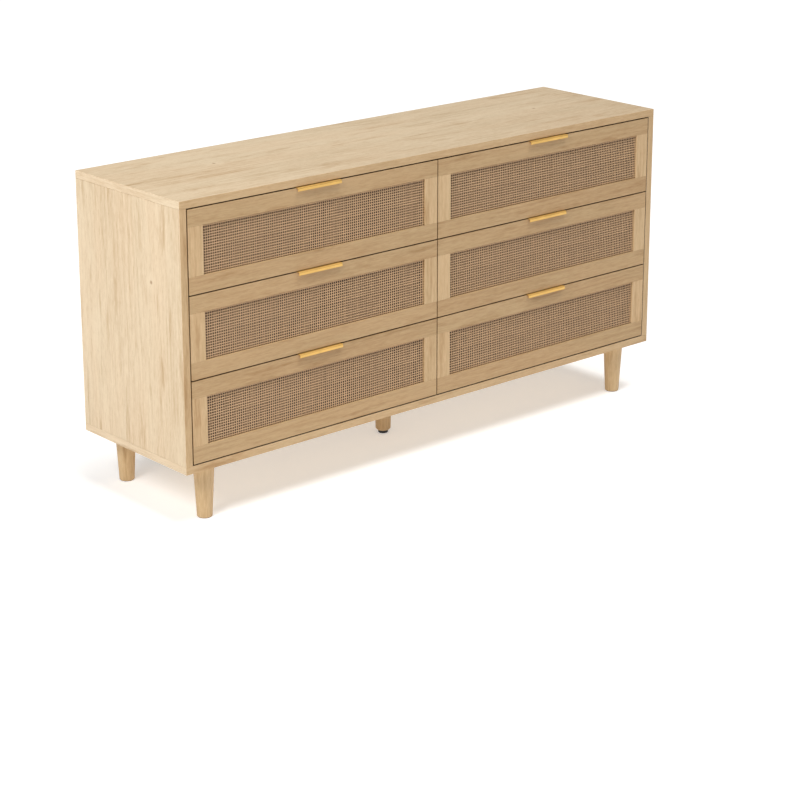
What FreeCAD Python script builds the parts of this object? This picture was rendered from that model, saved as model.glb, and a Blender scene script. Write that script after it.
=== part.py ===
import FreeCAD, Part
import os
import Sketcher

# A six-drawer dresser in oak-faced board: a case on five legs, two columns of three drawers
# with framed cane fronts and brass finger pulls, running on roller slides.
#
# Frame: the origin is on the floor under the middle of the case, X runs along the width to the
# right, Y from the drawer fronts to the back, and Z up. All sizes are in millimetres.
# The left half is modelled for the bottom row; the right half mirrors it across X = 0, and the
# rows above repeat it.

DIMENSIONS = {
    # case
    "case_width": 1500,
    "case_depth": 400,
    "case_height": 625,
    "board": 18,
    "edge_round": 0.8,
    "back_thickness": 3,
    "back_inset": 10,
    "groove_depth": 5,
    "groove_slack": 0.5,
    "divider_setback": 2,
    # legs and levelling foot
    "leg_length": 130,
    "leg_top_radius": 25,
    "leg_bottom_radius": 18,
    "leg_chamfer": 2,
    "leg_inset_side": 80,
    "leg_inset_front": 46,
    "centre_leg_top_radius": 22,
    "centre_leg_bottom_radius": 19,
    "centre_leg_chamfer": 4,
    "foot_radius": 12.5,
    "foot_height": 8,
    "foot_chamfer": 1.5,
    "stem_radius": 4,
    "stem_length": 26,
    "stem_clearance": 0.08,
    "stem_spare": 4,
    # drawer fronts
    "front_gap": 3,
    "front_thickness": 18,
    "frame_thickness": 5,
    "frame_width": 40,
    "front_round": 0.5,
    "cane_thickness": 1.4,
    "cane_slack": 0.2,
    "thin_round": 0.2,
    # finger pulls
    "pull_length": 127,
    "pull_sheet": 1.5,
    "pull_reach": 7.5,
    "lip_drop": 6.5,
    "flange_drop": 14,
    "bend_radius": 3,
    "pull_screw_spacing": 90,
    "pull_screw_drop": 8,
    # drawer boxes
    "side_thickness": 15,
    "box_rise": 12,
    "box_drop": 30,
    "box_back_clearance": 19,
    "runner_space": 12.5,
    "box_bottom_thickness": 5,
    "box_bottom_rise": 10,
    "box_groove": 5,
    "box_round": 0.6,
    # roller slides
    "runner_setback": 2,
    "runner_end_setback": 3,
    "channel_setback": 4,
    "channel_sheet": 1,
    "profile_sheet": 1.2,
    "profile_shelf": 10,
    "flange_clearance": 0.8,
    "flange_end_clearance": 1.5,
    "channel_mouth_clearance": 1.3,
    "roller_radius": 8.45,
    "roller_chamfer": 0.8,
    "roller_recess": 0.5,
    "hub_radius": 4.5,
    "axle_radius": 2,
    "axle_clearance": 0.05,
    "axle_rise": 5.25,
    "axle_inset": 10,
    "roller_play": 0.5,
    "rivet_radius": 3.2,
    "rivet_height": 0.5,
    "rivet_play": 0.2,
    "rivet_clearance": 2.1,
    "drawer_roller_play": 0.8,
    "track_clearance": 0.3,
    # wood screws
    "screw_radius": 1.7,
    "screw_length": 9,
    "screw_tip": 2,
    "screw_head_radius": 3.2,
    "screw_head_height": 1,
    "screw_clearance": 0.05,
    "runner_screw_rise": 6,
    "runner_screw_inset": 36,
    # cam locks
    "cam_radius": 7.5,
    "cam_height": 11.7,
    "cam_pocket": 12,
    "cam_clearance": 0.1,
    "cam_distance": 34,
    "cam_low_rise": 28,
    "cam_high_drop": 40,
    "bolt_radius": 2.9,
    "bolt_neck_radius": 2.2,
    "bolt_head": 5,
    "bolt_grip": 10,
    "bolt_clearance": 0.2,
    "bolt_line": 7.5,
    "recess_reach": 3.6,
    "recess_width": 1.6,
    "recess_depth": 2.5,
    "screw_recess_reach": 1.7,
    "screw_recess_width": 0.7,
    "screw_recess_depth": 0.7,
    # dowels, case screws and leg bolts
    "dowel_radius": 4,
    "dowel_length": 30,
    "dowel_grip": 10,
    "dowel_clearance": 0.05,
    "dowel_chamfer": 1,
    "case_screw_radius": 3.5,
    "case_screw_length": 50,
    "case_screw_head_radius": 5,
    "case_screw_head_height": 3,
    "case_screw_clearance": 0.1,
    "case_screw_recess": 0.3,
    "fitting_inset": 80,
    "dowel_inset": 110,
    "leg_bolt_radius": 4,
    "leg_bolt_grip": 38,
    "insert_radius": 6,
    "insert_length": 13,
    "thread_clearance": 0.05,
}
ROWS = ("bottom", "middle", "top")

document = FreeCAD.newDocument("Dresser")
sheet = document.addObject("Spreadsheet::Sheet", "Dims")
for line, (alias, number) in enumerate(DIMENSIONS.items(), 1):
    sheet.set(f"A{line}", alias)
    sheet.set(f"B{line}", str(number))
    sheet.setAlias(f"B{line}", alias)
document.recompute()


class Size:
    """A length kept as a spreadsheet expression, so that sums of sizes stay live in the document."""

    def __init__(self, text):
        self.text = text

    def __str__(self):
        return self.text

    def __float__(self):
        return float(sheet.evalExpression(self.text))

    def __add__(self, other):
        return Size(f"({self} + {other})")

    def __radd__(self, other):
        return Size(f"({other} + {self})")

    def __sub__(self, other):
        return Size(f"({self} - {other})")

    def __rsub__(self, other):
        return Size(f"({other} - {self})")

    def __mul__(self, other):
        return Size(f"({self} * {other})")

    __rmul__ = __mul__

    def __truediv__(self, other):
        return Size(f"({self} / {other})")

    def __neg__(self):
        return Size(f"(0 - {self})")


class Dimensions:
    """The sheet's cells by name."""

    def __getattr__(self, alias):
        if alias not in DIMENSIONS:
            raise AttributeError(alias)
        return Size(f"Dims.{alias}")


dim = Dimensions()

# ------------------------------------------------------------------ places worked out from the sizes
half_width = dim.case_width / 2
half_depth = dim.case_depth / 2
case_bottom = dim.leg_length
case_top = case_bottom + dim.case_height
inner_bottom = case_bottom + dim.board
inner_top = case_top - dim.board
wall = dim.board - half_width
divider_face = dim.board / -2
bay_centre = (wall + divider_face) / 2

front_plane = -half_depth
front_left = wall + dim.front_gap
front_right = dim.front_gap / -2
front_centre = (front_left + front_right) / 2
front_back = front_plane + dim.front_thickness
front_height = (inner_top - inner_bottom - (len(ROWS) + 1) * dim.front_gap) / len(ROWS)
row_pitch = front_height + dim.front_gap
front_bottom = inner_bottom + dim.front_gap
front_top = front_bottom + front_height

back_front = half_depth - dim.back_inset - dim.back_thickness
back_reach = dim.groove_depth - dim.groove_slack
divider_front = front_back + dim.divider_setback

box_left = wall + dim.runner_space
box_right = divider_face - dim.runner_space
box_floor = front_bottom + dim.box_rise
box_top = front_top - dim.box_drop
box_back = back_front - dim.box_back_clearance
box_inner_left = box_left + dim.side_thickness
box_inner_right = box_right - dim.side_thickness
panel_floor = box_floor + dim.box_bottom_rise
panel_top = panel_floor + dim.box_bottom_thickness

axle_height = box_floor + dim.axle_rise
profile_flange_low = axle_height + dim.roller_radius + dim.track_clearance
profile_flange_top = profile_flange_low + dim.profile_sheet
track_top = axle_height - dim.roller_radius - dim.track_clearance
channel_top_low = profile_flange_top + dim.flange_clearance
profile_front = front_back + dim.runner_setback
channel_front = front_back + dim.channel_setback
runner_length = box_back - dim.runner_end_setback - profile_front
channel_screw_face = wall + dim.channel_sheet
profile_face = box_left - dim.profile_sheet
profile_flange_tip = channel_screw_face + dim.flange_end_clearance
channel_mouth = profile_face - dim.channel_mouth_clearance
case_rivet_face = profile_face - dim.rivet_clearance
roller_face = channel_screw_face + dim.roller_play
roller_width = case_rivet_face - dim.rivet_height - dim.rivet_play - roller_face
screw_height = box_floor + dim.runner_screw_rise
cam_heights = (box_floor + dim.cam_low_rise, box_top - dim.cam_high_drop)
cam_lock_height = inner_top - dim.cam_distance
pull_screw_height = front_top - dim.pull_screw_drop
pull_screw_places = (front_centre - dim.pull_screw_spacing / 2, front_centre + dim.pull_screw_spacing / 2)


# ------------------------------------------------------------------ modelling helpers
PLANES = {"x": ("YZ_Plane", 1), "y": ("XZ_Plane", -1), "z": ("XY_Plane", 1)}
nodes = []


def new_body(label, low=(0, 0, 0)):
    """Start a body at a place."""
    body = document.addObject("PartDesign::Body", label)
    for axis, value in zip("xyz", low):
        body.setExpression(f"Placement.Base.{axis}", str(value))
    return body


def new_sketch(body, name, axis, offset=0):
    """Start a sketch on the body's origin plane across an axis, moved along that axis."""
    role, normal = PLANES[axis]
    sketch = body.newObject("Sketcher::SketchObject", name)
    plane = next(item for item in body.Origin.OriginFeatures if item.Role == role)
    sketch.AttachmentSupport = (plane, [""])
    sketch.MapMode = "FlatFace"
    sketch.setExpression("AttachmentOffset.Base.z", str(offset * normal))
    return sketch


def hold_point(sketch, geometry, corner, point):
    """Bind one point of a sketch to a pair of sizes."""
    for kind, value, axis in (("DistanceX", point[0], -2), ("DistanceY", point[1], -1)):
        number = float(value)
        if abs(number) < 1e-9:
            sketch.addConstraint(Sketcher.Constraint("PointOnObject", geometry, corner, axis))
        else:
            index = sketch.addConstraint(Sketcher.Constraint(kind, -1, 1, geometry, corner, number))
            sketch.setExpression(f"Constraints[{index}]", str(value))


def add_outline(sketch, points):
    """Draw a closed outline whose corners follow the sizes."""
    places = [FreeCAD.Vector(float(across), float(up), 0) for across, up in points]
    count = len(places)
    lines = [Part.LineSegment(places[n], places[(n + 1) % count]) for n in range(count)]
    first = sketch.GeometryCount
    sketch.addGeometry(lines)
    for n in range(count):
        following = first + (n + 1) % count
        sketch.addConstraint(Sketcher.Constraint("Coincident", first + n, 2, following, 1))
    for n, point in enumerate(points):
        hold_point(sketch, first + n, 1, point)


def add_circle(sketch, centre, radius):
    """Draw a circle whose centre and radius follow the sizes."""
    place = FreeCAD.Vector(float(centre[0]), float(centre[1]), 0)
    circle = sketch.addGeometry(Part.Circle(place, FreeCAD.Vector(0, 0, 1), float(radius)))
    hold_point(sketch, circle, 3, centre)
    index = sketch.addConstraint(Sketcher.Constraint("Radius", circle, float(radius)))
    sketch.setExpression(f"Constraints[{index}]", str(radius))


def extrude(body, kind, sketch, length, reverse=False):
    """Pad or pocket a sketch."""
    feature = body.newObject(f"PartDesign::{kind}", f"{sketch.Name}_{kind.lower()}")
    feature.Profile = sketch
    feature.Reversed = reverse
    feature.setExpression("Length", str(length))
    return feature


def round_edges(body, radius, wanted=None):
    """Round the edges that a test picks, or all of them."""
    document.recompute()
    base = body.Tip
    feature = body.newObject("PartDesign::Fillet", "rounding")
    if wanted is None:
        feature.Base = (base, [""])
        feature.UseAllEdges = True
    else:
        picked = [f"Edge{n}" for n, edge in enumerate(base.Shape.Edges, 1) if wanted(edge)]
        feature.Base = (base, picked)
    feature.setExpression("Radius", str(radius))


def runs_along_x(across, up):
    """Test for a straight edge along the body's X at one height and depth."""
    def is_edge(edge):
        start = edge.Vertexes[0].Point
        end = edge.Vertexes[-1].Point
        level = abs(start.y - float(across)) + abs(start.z - float(up))
        return level < 0.001 and (start - end).cross(FreeCAD.Vector(1, 0, 0)).Length < 0.001

    return is_edge


def bore(body, low, name, towards, starts, radius, depth):
    """Drill holes that start at points of one plane and run towards "+x", "-x", "+y" and so on."""
    axis = towards[1]
    across = [n for n in range(3) if "xyz"[n] != axis]
    along = "xyz".index(axis)
    sketch = new_sketch(body, name, axis, starts[0][along] - low[along])
    for start in starts:
        add_circle(sketch, [start[n] - low[n] for n in across], radius)
    normal = PLANES[axis][1]
    runs_with_normal = (towards[0] == "+") == (normal > 0)
    extrude(body, "Pocket", sketch, depth, reverse=runs_with_normal)


class Board:
    """A flat board between two corners, with its arrises eased."""

    def __init__(self, label, low, high, rounding):
        self.low = low
        self.body = new_body(label, low)
        width, depth, height = (top - bottom for bottom, top in zip(low, high))
        outline = new_sketch(self.body, "outline", "z")
        add_outline(outline, [(0, 0), (width, 0), (width, depth), (0, depth)])
        extrude(self.body, "Pad", outline, height)
        round_edges(self.body, rounding)

    def groove(self, name, low, high):
        """Cut a straight groove that fills the space between two corners."""
        near = [bottom - base for bottom, base in zip(low, self.low)]
        far = [top - base for top, base in zip(high, self.low)]
        sketch = new_sketch(self.body, name, "z", far[2])
        add_outline(sketch, [(near[0], near[1]), (far[0], near[1]), (far[0], far[1]), (near[0], far[1])])
        extrude(self.body, "Pocket", sketch, far[2] - near[2])

    def bore(self, name, towards, starts, radius, depth):
        """Drill holes into the board."""
        bore(self.body, self.low, name, towards, starts, radius, depth)


def turned(label, profile):
    """Turn a half outline of (radius, height) corners about the body's own Z axis."""
    body = new_body(label)
    sketch = new_sketch(body, f"{label}_profile", "y")
    add_outline(sketch, profile)
    feature = body.newObject("PartDesign::Revolution", f"{label}_turning")
    feature.Profile = sketch
    feature.ReferenceAxis = (sketch, ["V_Axis"])
    feature.Angle = 360
    return body


def cross_recess(body, top, reach, width, depth):
    """Sink a cross-shaped driver recess into a round head."""
    half = width / 2
    corners = [(half, half), (reach, half), (reach, -half), (half, -half), (half, -reach), (-half, -reach)]
    corners += [(-half, -half), (-reach, -half), (-reach, half), (-half, half), (-half, reach), (half, reach)]
    sketch = new_sketch(body, "recess", "z", top)
    add_outline(sketch, corners)
    extrude(body, "Pocket", sketch, depth)


def facing(forward, spin=(0, 0, 1)):
    """Rotation that turns a piece's own Z to one direction and its own X to another across it."""
    z_axis = FreeCAD.Vector(*forward)
    x_axis = FreeCAD.Vector(*spin)
    return FreeCAD.Rotation(x_axis, z_axis.cross(x_axis), z_axis, "ZXY")


def placed(piece, at, turn=None):
    """Repeat a piece at another place, and turned if need be."""
    copy = document.addObject("Part::Compound", f"{piece.Name}_placed")
    copy.Links = [piece]
    if turn is not None:
        copy.Placement = FreeCAD.Placement(FreeCAD.Vector(), turn)
    for axis, value in zip("xyz", at):
        copy.setExpression(f"Placement.Base.{axis}", str(value))
    return copy


def group(label, pieces):
    """Hold pieces together without joining them."""
    compound = document.addObject("Part::Compound", label)
    compound.Links = pieces
    return compound


def mirrored(piece, plane=0):
    """Mirror a piece across a plane that stands at a distance along X."""
    copy = document.addObject("Part::Mirroring", f"{piece.Name}_mirrored")
    copy.Source = piece
    copy.Normal = FreeCAD.Vector(1, 0, 0)
    copy.setExpression("Base.x", str(plane))
    return copy


def both_sides(pieces, plane=0):
    """The pieces and their mirror images."""
    return pieces + [mirrored(piece, plane) for piece in pieces]


# ------------------------------------------------------------------ loose pieces that are used many times
def make_screw():
    """Small pan-head wood screw: the head stands on the plane Z = 0 and the shank runs down."""
    head = dim.screw_head_height
    profile = [
        (0, -dim.screw_length),
        (dim.screw_radius, dim.screw_tip - dim.screw_length),
        (dim.screw_radius, 0),
        (dim.screw_head_radius, 0),
        (dim.screw_head_radius, head / 3),
        (dim.screw_head_radius * 0.75, head),
        (0, head),
    ]
    body = turned("wood_screw", profile)
    cross_recess(body, head, dim.screw_recess_reach, dim.screw_recess_width, dim.screw_recess_depth)
    return body


def make_cam():
    """Cam lock: a disc standing on Z = 0 with a cross recess and a side bore along X for its bolt."""
    radius = dim.cam_radius - dim.cam_clearance
    body = turned("cam", [(0, 0), (radius, 0), (radius, dim.cam_height), (0, dim.cam_height)])
    cross_recess(body, dim.cam_height, dim.recess_reach, dim.recess_width, dim.recess_depth)
    start = (dim.cam_radius, 0, dim.cam_pocket - dim.bolt_line)
    bore_radius = dim.bolt_radius + dim.bolt_clearance
    bore(body, (0, 0, 0), "bolt_way", "-x", [start], bore_radius, dim.cam_radius + dim.bolt_head)
    return body


def make_cam_bolt():
    """Cam bolt: the threaded end runs up from Z = 0, and the neck hangs down to the head in the cam."""
    neck_end = dim.bolt_head / 2 - dim.cam_distance
    profile = [
        (0, neck_end - dim.bolt_head),
        (dim.bolt_radius, neck_end - dim.bolt_head),
        (dim.bolt_radius, neck_end),
        (dim.bolt_neck_radius, neck_end),
        (dim.bolt_neck_radius, 0),
        (dim.bolt_radius, 0),
        (dim.bolt_radius, dim.bolt_grip),
        (0, dim.bolt_grip),
    ]
    return turned("cam_bolt", profile)


def make_dowel():
    """Beech dowel standing on Z = 0."""
    radius = dim.dowel_radius
    chamfer = dim.dowel_chamfer
    length = dim.dowel_length
    profile = [(0, 0), (radius - chamfer, 0), (radius, chamfer)]
    profile += [(radius, length - chamfer), (radius - chamfer, length), (0, length)]
    return turned("dowel", profile)


def make_case_screw():
    """Long case screw: its head starts at Z = 0 and its shank runs up."""
    head_top = dim.case_screw_head_height
    profile = [
        (0, dim.case_screw_recess),
        (dim.case_screw_head_radius, dim.case_screw_recess),
        (dim.case_screw_head_radius, head_top),
        (dim.case_screw_radius, head_top),
        (dim.case_screw_radius, dim.case_screw_length),
        (0, dim.case_screw_length),
    ]
    return turned("case_screw", profile)


def make_leg_bolt():
    """Leg bolt: it stands in the leg below Z = 0 and in the threaded insert above."""
    profile = [
        (0, -dim.leg_bolt_grip),
        (dim.leg_bolt_radius, -dim.leg_bolt_grip),
        (dim.leg_bolt_radius, dim.insert_length),
        (0, dim.insert_length),
    ]
    return turned("leg_bolt", profile)


def make_insert():
    """Threaded insert that stands on Z = 0 in the bottom panel."""
    inner = dim.leg_bolt_radius + dim.thread_clearance
    outer = dim.insert_radius
    return turned("insert", [(inner, 0), (outer, 0), (outer, dim.insert_length), (inner, dim.insert_length)])


def make_axle(label, reach):
    """Roller axle: it stands on Z = 0, and a flattened rivet head keeps the roller on."""
    profile = [
        (0, 0),
        (dim.axle_radius, 0),
        (dim.axle_radius, reach),
        (dim.rivet_radius, reach),
        (dim.rivet_radius, reach + dim.rivet_height),
        (0, reach + dim.rivet_height),
    ]
    return turned(label, profile)


def make_roller():
    """Nylon roller standing on Z = 0, with a sunk web between hub and rim on both faces."""
    inner = dim.axle_radius + dim.axle_clearance
    hub = dim.hub_radius
    rim = dim.roller_radius
    chamfer = dim.roller_chamfer
    rim_inner = rim - 2 * chamfer
    width = roller_width
    sunk = dim.roller_recess
    profile = [(inner, 0), (hub, 0), (hub, sunk), (rim_inner, sunk), (rim_inner, 0), (rim - chamfer, 0)]
    profile += [(rim, chamfer), (rim, width - chamfer), (rim - chamfer, width), (rim_inner, width)]
    profile += [(rim_inner, width - sunk), (hub, width - sunk), (hub, width), (inner, width)]
    return turned("roller", profile)


def make_leg(label, length, top_radius, bottom_radius, chamfer):
    """Turned, tapered leg standing on Z = 0, bored from its top for the leg bolt."""
    profile = [
        (0, 0),
        (bottom_radius - chamfer, 0),
        (bottom_radius, chamfer),
        (top_radius, length),
        (0, length),
    ]
    body = turned(label, profile)
    radius = dim.leg_bolt_radius + dim.thread_clearance
    bore(body, (0, 0, 0), f"{label}_bolt_hole", "-z", [(0, 0, length)], radius, dim.leg_bolt_grip)
    return body


screw = make_screw()
cam = make_cam()
cam_bolt = make_cam_bolt()
dowel = make_dowel()
case_screw = make_case_screw()
leg_bolt = make_leg_bolt()
insert = make_insert()
roller = make_roller()

# ------------------------------------------------------------------ where the case's fittings go
fitting_places = (dim.fitting_inset - half_depth, half_depth - dim.fitting_inset)
dowel_places = (dim.dowel_inset - half_depth, half_depth - dim.dowel_inset)
upright_centres = (dim.board / 2 - half_width, 0, half_width - dim.board / 2)
bolt_lines = (wall - dim.bolt_line, divider_face + dim.bolt_line, dim.bolt_line - wall)
leg_centres = [
    (x_sign * (half_width - dim.leg_inset_side), y_sign * (half_depth - dim.leg_inset_front))
    for x_sign in (-1, 1)
    for y_sign in (-1, 1)
]
centre_leg_place = (0, 0)
runner_screw_places = (
    dim.runner_screw_inset,
    runner_length / 2,
    runner_length - dim.runner_screw_inset,
)
channel_screws = [
    (channel_front + place, screw_height + row * row_pitch)
    for row in range(len(ROWS))
    for place in runner_screw_places
]
pilot_radius = dim.screw_radius + dim.screw_clearance
channel_pilot = dim.screw_length - dim.channel_sheet
bolt_hole = dim.bolt_radius + dim.bolt_clearance
dowel_hole = dim.dowel_radius + dim.dowel_clearance
dowel_rest = dim.dowel_length - dim.dowel_grip
case_screw_hole = dim.case_screw_radius + dim.case_screw_clearance


# ------------------------------------------------------------------ case
def make_top_panel():
    """Top: it lies over the uprights and takes their dowels and cam bolts from below."""
    low = (-half_width, -half_depth, inner_top)
    top = Board("top_panel", low, (half_width, half_depth, case_top), dim.edge_round)
    reach = half_width - dim.board + dim.groove_depth
    groove_low = (-reach, back_front, inner_top)
    groove_high = (reach, back_front + dim.back_thickness, inner_top + dim.groove_depth)
    top.groove("back_groove", groove_low, groove_high)
    bolts = [(x, y, inner_top) for x in bolt_lines for y in fitting_places]
    dowels = [(x, y, inner_top) for x in upright_centres for y in dowel_places]
    top.bore("bolt_holes", "+z", bolts, bolt_hole, dim.bolt_grip)
    top.bore("dowel_holes", "+z", dowels, dowel_hole, dim.dowel_grip)
    return top.body


def make_bottom_panel():
    """Bottom: it runs under the uprights, is screwed to them from below and holds the legs."""
    low = (-half_width, -half_depth, case_bottom)
    bottom = Board("bottom_panel", low, (half_width, half_depth, inner_bottom), dim.edge_round)
    reach = half_width - dim.board + dim.groove_depth
    groove_low = (-reach, back_front, inner_bottom - dim.groove_depth)
    bottom.groove("back_groove", groove_low, (reach, back_front + dim.back_thickness, inner_bottom))
    screws = [(x, y, case_bottom) for x in upright_centres for y in fitting_places]
    dowels = [(x, y, inner_bottom) for x in upright_centres for y in dowel_places]
    legs = [(x, y, case_bottom) for x, y in leg_centres + [centre_leg_place]]
    head_radius = dim.case_screw_head_radius + dim.case_screw_clearance
    bottom.bore("screw_holes", "+z", screws, case_screw_hole, dim.board)
    bottom.bore("head_sinks", "+z", screws, head_radius, dim.case_screw_head_height)
    bottom.bore("dowel_holes", "-z", dowels, dowel_hole, dim.dowel_grip)
    bottom.bore("insert_holes", "+z", legs, dim.insert_radius + dim.thread_clearance, dim.insert_length)
    return bottom.body


def drill_upright(upright, centre, bolt_line):
    """Drill an upright's two ends for its dowels, cam bolts and case screws."""
    bolts = [(bolt_line, y, inner_top) for y in fitting_places]
    top_dowels = [(centre, y, inner_top) for y in dowel_places]
    screws = [(centre, y, inner_bottom) for y in fitting_places]
    bottom_dowels = [(centre, y, inner_bottom) for y in dowel_places]
    upright.bore("bolt_holes", "-z", bolts, bolt_hole, dim.cam_distance)
    upright.bore("top_dowel_holes", "-z", top_dowels, dowel_hole, dowel_rest)
    upright.bore("screw_holes", "+z", screws, case_screw_hole, dim.case_screw_length - dim.board)
    upright.bore("bottom_dowel_holes", "+z", bottom_dowels, dowel_hole, dowel_rest)


def make_side_panel():
    """Left side panel, between top and bottom, with the back's groove and the runners' holes."""
    low = (-half_width, -half_depth, inner_bottom)
    side = Board("left_side_panel", low, (wall, half_depth, inner_top), dim.edge_round)
    groove_low = (wall - dim.groove_depth, back_front, inner_bottom)
    side.groove("back_groove", groove_low, (wall, back_front + dim.back_thickness, inner_top))
    drill_upright(side, upright_centres[0], bolt_lines[0])
    cams = [(wall, y, cam_lock_height) for y in fitting_places]
    side.bore("cam_holes", "-x", cams, dim.cam_radius, dim.cam_pocket)
    pilots = [(wall, y, z) for y, z in channel_screws]
    side.bore("runner_holes", "-x", pilots, pilot_radius, channel_pilot)
    return side.body


def make_divider():
    """Centre divider, set back behind the fronts, with a groove and runner holes on both faces."""
    low = (divider_face, divider_front, inner_bottom)
    divider = Board("centre_divider", low, (-divider_face, half_depth, inner_top), dim.edge_round)
    for side, face, towards in (("left", divider_face, "+x"), ("right", -divider_face, "-x")):
        inner = face + dim.groove_depth if side == "left" else face - dim.groove_depth
        edges = (face, inner) if side == "left" else (inner, face)
        groove_low = (edges[0], back_front, inner_bottom)
        groove_high = (edges[1], back_front + dim.back_thickness, inner_top)
        divider.groove(f"{side}_groove", groove_low, groove_high)
        pilots = [(face, y, z) for y, z in channel_screws]
        divider.bore(f"{side}_runner_holes", towards, pilots, pilot_radius, channel_pilot)
    drill_upright(divider, upright_centres[1], bolt_lines[1])
    cams = [(divider_face, y, cam_lock_height) for y in fitting_places]
    divider.bore("cam_holes", "+x", cams, dim.cam_radius, dim.cam_pocket)
    return divider.body


def make_back_panel():
    """Left hardboard back, held in grooves on all four sides."""
    low = (wall - back_reach, back_front, inner_bottom - back_reach)
    high = (divider_face + back_reach, back_front + dim.back_thickness, inner_top + back_reach)
    return Board("left_back_panel", low, high, dim.thin_round).body


def make_channel():
    """Left-hand case channel of the bottom left bay: a C-section with its open side to the drawer."""
    low = (wall, channel_front, box_floor)
    body = new_body("case_channel", low)
    sheet_in = dim.channel_sheet
    reach = channel_mouth - wall
    bottom = track_top - dim.channel_sheet - box_floor
    top = channel_top_low + dim.channel_sheet - box_floor
    outline = [(0, bottom), (reach, bottom), (reach, bottom + sheet_in), (sheet_in, bottom + sheet_in)]
    outline += [(sheet_in, top - sheet_in), (reach, top - sheet_in), (reach, top), (0, top)]
    section = new_sketch(body, "channel_section", "y")
    add_outline(section, outline)
    extrude(body, "Pad", section, runner_length, reverse=True)
    holes = [(wall, channel_front + place, screw_height) for place in runner_screw_places]
    bore(body, low, "channel_holes", "+x", holes, pilot_radius, dim.channel_sheet)
    return body


def make_profile():
    """Left-hand drawer profile: a shelf under the box side, a web beside it and a flange on the track."""
    low = (profile_face, profile_front, box_floor)
    body = new_body("drawer_profile", low)
    metal = dim.profile_sheet
    shelf = metal + dim.profile_shelf
    flange_low = profile_flange_low - box_floor
    outline = [(0, -metal), (shelf, -metal), (shelf, 0), (metal, 0), (metal, flange_low + metal)]
    reach = profile_flange_tip - profile_face
    outline += [(reach, flange_low + metal), (reach, flange_low), (0, flange_low)]
    section = new_sketch(body, "profile_section", "y")
    add_outline(section, outline)
    extrude(body, "Pad", section, runner_length, reverse=True)
    holes = [(profile_face, profile_front + place, screw_height) for place in runner_screw_places]
    bore(body, low, "profile_holes", "+x", holes, pilot_radius, dim.profile_sheet)
    return body


to_right = facing((1, 0, 0), (0, 0, 1))
to_left = facing((-1, 0, 0), (0, 0, 1))
to_left_bore_forward = facing((-1, 0, 0), (0, -1, 0))
to_front = facing((0, -1, 0), (1, 0, 0))
to_back = facing((0, 1, 0), (1, 0, 0))

# Every roller turns on its axle between a small play at the sheet metal and one at the rivet head.
roller_reach = dim.roller_play + roller_width + dim.rivet_play
case_axle_y = channel_front + dim.axle_inset
drawer_axle_y = profile_front + runner_length - dim.axle_inset
case_axle = make_axle("case_axle", roller_reach)
drawer_axle = make_axle("drawer_axle", dim.drawer_roller_play + roller_width + dim.rivet_play)
channel = make_channel()
profile = make_profile()


def case_bay_runners(row):
    """Both channels of a left-hand bay with their axles."""
    rise = row * row_pitch
    left = placed(channel, (0, 0, rise))
    axle = placed(case_axle, (channel_screw_face, case_axle_y, axle_height + rise), to_right)
    return both_sides([left, axle], bay_centre)


def case_bay_screws(row):
    """The screws of both channels of a left-hand bay."""
    rise = row * row_pitch
    places = [channel_front + place for place in runner_screw_places]
    left = [placed(screw, (channel_screw_face, y, screw_height + rise), to_right) for y in places]
    return both_sides(left, bay_centre)


def make_case_fasteners():
    """Cam locks, case screws, channel screws, leg bolts and their inserts."""
    side_cam_x = wall - dim.cam_pocket
    divider_cam_x = divider_face + dim.cam_pocket
    side_cams = [placed(cam, (side_cam_x, y, cam_lock_height), to_right) for y in fitting_places]
    divider_cams = [placed(cam, (divider_cam_x, y, cam_lock_height), to_left) for y in fitting_places]
    bolts = [placed(cam_bolt, (x, y, inner_top)) for x in bolt_lines for y in fitting_places]
    screws = [placed(case_screw, (x, y, case_bottom)) for x in upright_centres for y in fitting_places]
    channel_fixings = [piece for row in range(len(ROWS)) for piece in case_bay_screws(row)]
    leg_places = leg_centres + [centre_leg_place]
    leg_bolts = [placed(leg_bolt, (x, y, case_bottom)) for x, y in leg_places]
    inserts = [placed(insert, (x, y, case_bottom)) for x, y in leg_places]
    pieces = both_sides(side_cams) + divider_cams + bolts + screws + both_sides(channel_fixings)
    return group("case_fasteners", pieces + leg_bolts + inserts)


def make_case_dowels():
    """Wooden dowels between the uprights and the top and bottom panels."""
    places = [(x, y) for x in upright_centres for y in dowel_places]
    top = [placed(dowel, (x, y, inner_top - dowel_rest)) for x, y in places]
    bottom = [placed(dowel, (x, y, inner_bottom - dim.dowel_grip)) for x, y in places]
    return group("case_dowels", top + bottom)


def make_corner_legs():
    """Four tapered corner legs."""
    leg = make_leg("leg", dim.leg_length, dim.leg_top_radius, dim.leg_bottom_radius, dim.leg_chamfer)
    return group("corner_legs", [placed(leg, (x, y, 0)) for x, y in leg_centres])


def make_centre_leg():
    """Middle leg, shorter by its levelling foot, with a hole for the foot's stem."""
    length = dim.leg_length - dim.foot_height
    sizes = (dim.centre_leg_top_radius, dim.centre_leg_bottom_radius, dim.centre_leg_chamfer)
    leg = make_leg("centre_leg", length, *sizes)
    leg.setExpression("Placement.Base.z", str(dim.foot_height))
    low = (0, 0, dim.foot_height)
    stem_hole = dim.stem_radius + dim.stem_clearance
    bore(leg, low, "stem_hole", "+z", [low], stem_hole, dim.stem_length + dim.stem_spare)
    return leg


def make_foot():
    """Levelling foot: a round pad on the floor with a stem up into the middle leg."""
    top = dim.foot_height
    profile = [
        (0, 0),
        (dim.foot_radius - dim.foot_chamfer, 0),
        (dim.foot_radius, dim.foot_chamfer),
        (dim.foot_radius, top),
        (dim.stem_radius, top),
        (dim.stem_radius, top + dim.stem_length),
        (0, top + dim.stem_length),
    ]
    return turned("levelling_foot", profile)


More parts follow.
